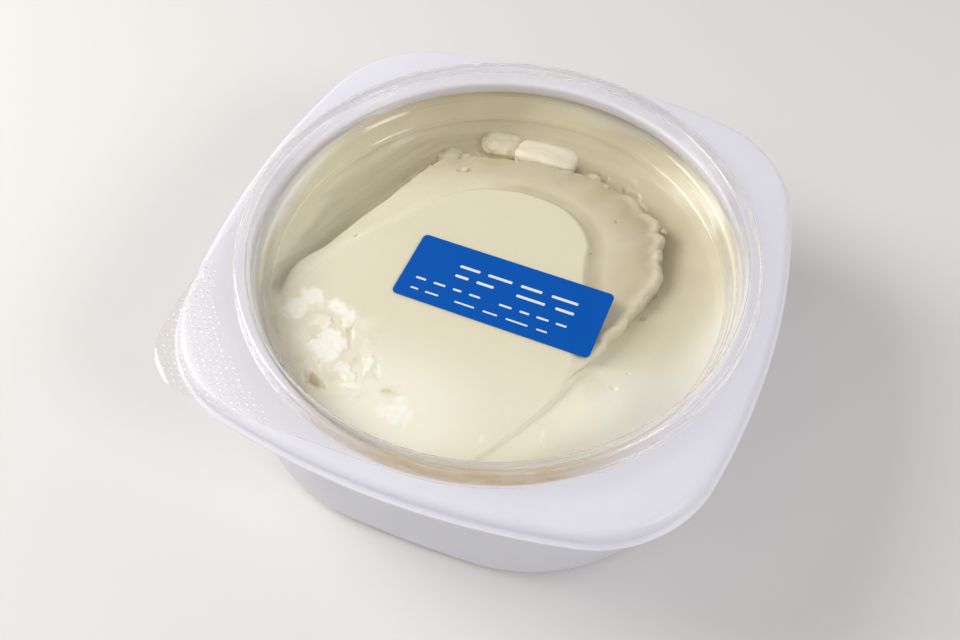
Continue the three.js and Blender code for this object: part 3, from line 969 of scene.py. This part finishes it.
# how much whey and painted shade dull the surface: in gaps, beside the torn edge, by the front wall, in low
# places and down in the trough
def tofuWetShade(x, y, level, onScoop):
    angle, far = polar(x, y)
    merged = mergedShare(angle)
    gap = gapWetShade(x, y)
    apart = together = 0
    if merged > 0:
        byWall = 1 - smooth(5, 10, wallReach(angle) - far)
        together = max(gap, 0.7 * byWall * inArc(angle, "wetShadeFront"))
    if merged < 1 and onScoop:
        step = hump(far - contactReach(angle), 3.0, 3.0) * inArc(angle, "wetShadeStep")
        rim = (1 - smooth(1.5, 6, scoopReach(angle) - far)) * inArc(angle, "lighterRim")
        apart = max((1 - smooth(32, 36.4, level)) * 1.25, step) * (1 - 0.5 * rim)
    elif merged < 1:
        apart = max(1 - smooth(25.5, 34.5, level), 0.6 * inArc(angle, "wetShadeBack"))
        apart = max(apart * mix(1, 0.55, inArc(angle, "lighterTrough")), 1.4 * gap)
    return mix(apart, together, merged)


# finer cells where small pits and torn lumps need them
def refineNear(bm, spots):
    near = [edge for edge in bm.edges
            if any((edge.verts[0].co.xy - Vector((x, y))).length < reach for x, y, reach in spots)]
    bmesh.ops.subdivide_edges(bm, edges=near, cuts=1, use_grid_fill=True)


# carries the edge of the surface down to a level and closes it there
def closeBelow(bm, level):
    rim = [edge for edge in bm.edges if edge.is_boundary]
    wall = bmesh.ops.extrude_edge_only(bm, edges=rim)["geom"]
    for vert in wall:
        if isinstance(vert, bmesh.types.BMVert):
            vert.co.z = level
            vert.co.xy *= 0.985
    closeEnds(bm)


# one surface over scoops and bed, with a row of cells standing upright where the scoops' edge drops away
def makeTofu():
    bm = bmesh.new()
    rings, scoopRings = tofu["rings"], tofu["scoopRings"]
    bmesh.ops.create_grid(bm, x_segments=2 * rings, y_segments=2 * rings, size=rings)
    onScoop = bm.verts.layers.int.new("onScoop")
    cx, cy = tofu["centre"]
    for vert in bm.verts:
        angle = math.atan2(vert.co.y, vert.co.x)
        ring = round(max(abs(vert.co.x), abs(vert.co.y)))
        edge = scoopReach(angle)
        if ring <= scoopRings:
            share = ring / scoopRings
            reach = edge * share * (1.5 - 0.5 * share)
        else:
            share = (ring - scoopRings - 1) / (rings - scoopRings - 1)
            wall = wallReach(angle) + 0.05 + 0.04 * (wallLevel(angle) - tofu["meetsWall"])
            reach = mix(edge + 0.12, wall, share)
        vert[onScoop] = ring <= scoopRings
        vert.co = (cx + reach * math.cos(angle), cy + reach * math.sin(angle), 0)
    refineNear(bm, [(x, y, 2.4) for x, y, *_ in tofu["pores"]] + tofu["finer"])
    pressed = bm.verts.layers.float.new("pressed")
    wetShade = bm.verts.layers.float.new("wetShade")
    milkyAndLit = bm.verts.layers.float.new("milkyAndLit")
    for vert in bm.verts:
        x, y = vert.co.xy
        scoop = bool(vert[onScoop])
        level = tofuHeight(x, y, scoop)
        if math.hypot(x, y) < lid["panelRadius"] - 2:
            vert[pressed] = smooth(tofu["pressed"] - 0.25, tofu["pressed"] + 0.05, level)
            level = min(level, tofu["pressed"])
        # painted light with the curd's own milkiness
        vert[milkyAndLit] = paleness(x, y, level)
        # painted shade with the whey's wetness
        vert[wetShade] = tofuWetShade(x, y, level, scoop) * (0.85 + 0.25 * wobble(x, y, 6, 5))
        vert.co.z = level
    closeBelow(bm, tofu["bottom"])
    makePiece("tofuCurd", bm, "tofu", softCurd, "tofu_bed", "tofu_scoop_lower", "tofu_scoop_upper")


# power (2 is a ball, more is a rounded box), growth, shift, milkiness, wetness with painted shade, roughness
# and bend of each
lumps = {
    1: (2.6, (0.85, 0.85, 0.9), (0, 0, 0.4), 0.8, 0),
    2: (2.6, (0.85, 0.85, 0.9), (0, 0, 0.4), 0.6, 0),
    3: (2.6, (0.85, 0.85, 0.9), (0, 0, 0.4), 0.8, 0),
    4: (2.6, (0.9, 0.9, 0.9), (0, 0, 0.4), 0.6, 0),
    5: (2.6, (0.9, 0.9, 0.9), (0, 0, 0.4), 0.6, 0),
    6: (5, (0.94, 1.0, 1.0), (-0.2, -1.6, 0.8), 0.2, 0.3, 0.5, 0.35),
    7: (2.2, (1.45, 1.2, 1.1), (1.6, 1.0, 0.6), 0, 0.6, 0.4),
    8: (2.4, (1.0, 0.8, 0.8), (-0.5, -1.5, 0.2), 0, 0.5, 0.2),
    9: (2.8, (0.65, 0.6, 0.7), (-2.2, -2.4, -0.6), 0, 0.8, 0.5),
}


# a loose lump in its solid's place, torn, and pressed flat where it meets the lid
def makeCurd(number, power, grow, shift, milk, wetAndShade, rough=1, bent=1):
    name = f"curd_{number}"
    low, high = [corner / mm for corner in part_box(name)]
    middle, half = (low + high) / 2 + Vector(shift), (high - low) / 2
    bm = bmesh.new()
    bmesh.ops.create_icosphere(bm, subdivisions=5, radius=1)
    pressed = bm.verts.layers.float.new("pressed")
    milkyAndLit = bm.verts.layers.float.new("milkyAndLit")
    wetShade = bm.verts.layers.float.new("wetShade")
    shifts = [Vector((number * 3.7 if k == axis else 0 for k in range(3))) for axis in range(3)]
    for vert in bm.verts:
        way = vert.co.normalized()
        torn = bent * (0.20 * noise.noise(way * 1.4 + shifts[0]) + 0.11 * noise.noise(way * 3.6 + shifts[1]))
        torn += rough * (0.06 * noise.noise(way * 9 + shifts[2]) + 0.03 * noise.noise(way * 20 + shifts[2]))
        boxed = way / sum(abs(c) ** power for c in way) ** (1 / power)
        spot = middle + Vector([boxed[k] * half[k] * (grow[k] + torn) for k in range(3)])
        vert[pressed] = smooth(tofu["pressed"] - 0.2, tofu["pressed"], spot.z)
        vert[milkyAndLit] = milk * (0.8 + 0.4 * noise.noise(way * 4 + shifts[1]))
        # wetness with painted shade
        vert[wetShade] = wetAndShade * (0.8 + 0.4 * noise.noise(way * 2 + shifts[0]))
        spot.z = min(spot.z, tofu["pressed"] + 0.01)
        vert.co = spot
    makePiece(name.replace("_", "") + "Lump", bm, "curd", looseCurd, name)


# crumbs along the torn edge and a few flakes elsewhere
crumbs = {
    "seed": 7,
    "alongEdge": 30,
    "sizes": (0.2, 0.6),
    "arc": (-8, 126),
    # place and size
    "flakes": [
        (-37.1, -1.6, 0.5), (-21.0, 31.3, 0.8), (-15.8, 41.6, 1.1), (-29.8, 39.4, 0.8), (-30.9, 37.0, 0.9),
        (-31.6, 34.4, 0.8), (-32.2, 31.6, 0.8), (34.6, 23.4, 0.5), (15.6, 40.0, 0.6), (-43.6, -31.5, 0.6),
    ],
    "overEdge": [(33.6, 31.4, 0.8), (20.6, 37.2, 0.9), (35.2, 21.4, 0.6)],
    "overEdgeLevel": 31.9,
}


def addCrumb(bm, x, y, level, size, draw):
    ball = bmesh.ops.create_icosphere(bm, subdivisions=3 if size > 1 else 2, radius=size)["verts"]
    stretch = (draw.uniform(0.8, 1.5), draw.uniform(0.8, 1.5), draw.uniform(0.5, 0.9))
    shift = Vector((draw.uniform(0, 50), draw.uniform(0, 50), 0))
    for vert in ball:
        way = vert.co / size
        vert.co *= 1 + 0.6 * noise.noise(way * 1.1 + shift) + 0.22 * noise.noise(way * 2.8 + shift)
    bmesh.ops.scale(bm, vec=stretch, verts=ball)
    bmesh.ops.translate(bm, vec=(x, y, level), verts=ball)


# the tofu's surface at a place
def levelAt(x, y):
    angle, far = polar(x, y)
    return tofuHeight(x, y, far < scoopReach(angle))


def makeCrumbs():
    draw = random.Random(crumbs["seed"])
    bm = bmesh.new()
    cx, cy = tofu["centre"]
    for _ in range(crumbs["alongEdge"]):
        angle = math.radians(draw.uniform(*crumbs["arc"]))
        inward = draw.gauss(0.2, 0.9)
        size = mix(*crumbs["sizes"], draw.random() ** 2.5)
        reach = scoopReach(angle) - inward
        x, y = cx + reach * math.cos(angle), cy + reach * math.sin(angle)
        addCrumb(bm, x, y, levelAt(x, y) - 0.15 * size, size, draw)
    for x, y, size in crumbs["flakes"]:
        addCrumb(bm, x, y, min(levelAt(x, y), tofu["pressed"] - size * 0.8) + 0.1 * size, size, draw)
    for x, y, size in crumbs["overEdge"]:
        addCrumb(bm, x, y, crumbs["overEdgeLevel"] - 0.3 * size, size, draw)
    # painted shade with wetness: the lower a crumb lies, the darker it is
    wetShade = bm.verts.layers.float.new("wetShade")
    for vert in bm.verts:
        vert[wetShade] = 0.95 * (1 - smooth(32, 36.4, vert.co.z))
    makePiece("curdCrumbs", bm, "curd", softCurd)


makeTofu()
for number, shaping in lumps.items():
    makeCurd(number, *shaping)
makeCrumbs()
print("tofu made")


def makeFloor():
    bm = bmesh.new()
    bmesh.ops.create_grid(bm, x_segments=1, y_segments=1, size=3)
    mesh = bpy.data.meshes.new("floor")
    bm.to_mesh(mesh)
    bm.free()
    material, _, shader = newMaterial("floorPaint")
    shader.inputs["Base Color"].default_value = (0.72, 0.71, 0.70, 1)
    shader.inputs["Roughness"].default_value = 0.7
    mesh.materials.append(material)
    floor = bpy.data.objects.new("floor", mesh)
    bpy.context.scene.collection.objects.link(floor)


# place, size, power, colour, and whether glossy things mirror it
lights = {
    "keyLight": ((-0.61, -0.05, 0.52), (0.40, 0.40), 4.75, (1, 0.98, 0.95), True),
    "fillLight": ((-0.1, -0.60, 0.95), (1.0, 0.7), 2.8, (1, 0.99, 0.98), False),
    "sideLight": ((0.95, -0.25, 0.75), (0.35, 0.35), 3.7, (1, 1, 1), True),
    "backLight": ((0.80, 0.50, 0.58), (0.9, 0.15), 1.5, (1, 1, 1), True),
}
lightsAim = (0, 0, 0.03)


def addSoftLight(name, place, size, power, colour, glossy):
    data = bpy.data.lights.new(name, "AREA")
    data.shape = "RECTANGLE"
    data.size, data.size_y = size
    data.energy = power
    data.color = colour
    light = bpy.data.objects.new(name, data)
    light.location = place
    light.rotation_euler = (Vector(lightsAim) - Vector(place)).to_track_quat("-Z", "Y").to_euler()
    light.visible_glossy = glossy
    bpy.context.scene.collection.objects.link(light)


camera = {
    "distance": 215.4,
    "elevation": math.radians(54.88),
    "azimuth": math.radians(22.34),
    "roll": math.radians(-1.01),
    "target": (2.8, -17.8, 42),
    "lens": 35.83,
}


def makeCamera():
    elevation, azimuth, roll = camera["elevation"], camera["azimuth"], camera["roll"]
    flat = math.cos(elevation)
    back = Vector((math.sin(azimuth) * flat, -math.cos(azimuth) * flat, math.sin(elevation)))
    right = Vector((math.cos(azimuth), math.sin(azimuth), 0))
    up = back.cross(right)
    rolledRight = math.cos(roll) * right + math.sin(roll) * up
    rolledUp = -math.sin(roll) * right + math.cos(roll) * up
    data = bpy.data.cameras.new("camera")
    data.lens = camera["lens"]
    data.sensor_width = 36
    data.clip_start = 0.01
    place = (Vector(camera["target"]) + camera["distance"] * back) * mm
    rotation = Matrix((rolledRight, rolledUp, back)).transposed().to_4x4()
    eye = bpy.data.objects.new("camera", data)
    eye.matrix_world = Matrix.Translation(place) @ rotation
    bpy.context.scene.collection.objects.link(eye)
    bpy.context.scene.camera = eye


surroundings = {
    "colour": (1, 0.98, 0.97, 1),
    "fades": (0.40, 0.64),  # how steeply up one looks where the brightness changes
    "low": 0.50,
    "lowMirrored": 1.0,
    "high": 0.20,
}


# soft surroundings: brighter near the ground than overhead, and more so in what glossy things mirror
def makeSurroundings():
    world = bpy.data.worlds.new("studio")
    world.use_nodes = True
    tree = world.node_tree
    way = addNode(tree, "ShaderNodeTexCoord")
    parts = addNode(tree, "ShaderNodeSeparateXYZ")
    tree.links.new(way.outputs["Generated"], parts.inputs["Vector"])
    fades, high = surroundings["fades"], surroundings["high"]
    plain = addRange(tree, parts.outputs["Z"], *fades, surroundings["low"], high)
    mirrored = addRange(tree, parts.outputs["Z"], *fades, surroundings["lowMirrored"], high)
    path = addNode(tree, "ShaderNodeLightPath")
    mirroring = addGreater(tree, path.outputs["Is Glossy Ray"], path.outputs["Is Transmission Ray"])
    strength = addNode(tree, "ShaderNodeMix")
    tree.links.new(mirroring, strength.inputs["Factor"])
    tree.links.new(plain, strength.inputs["A"])
    tree.links.new(mirrored, strength.inputs["B"])
    tree.links.new(strength.outputs["Result"], tree.nodes["Background"].inputs["Strength"])
    tree.nodes["Background"].inputs["Color"].default_value = surroundings["colour"]
    bpy.context.scene.world = world


makeFloor()
makeCamera()
for name, settings in lights.items():
    addSoftLight(name, *settings)
makeSurroundings()
bpy.context.scene.view_settings.view_transform = "Standard"
print("light and camera set")
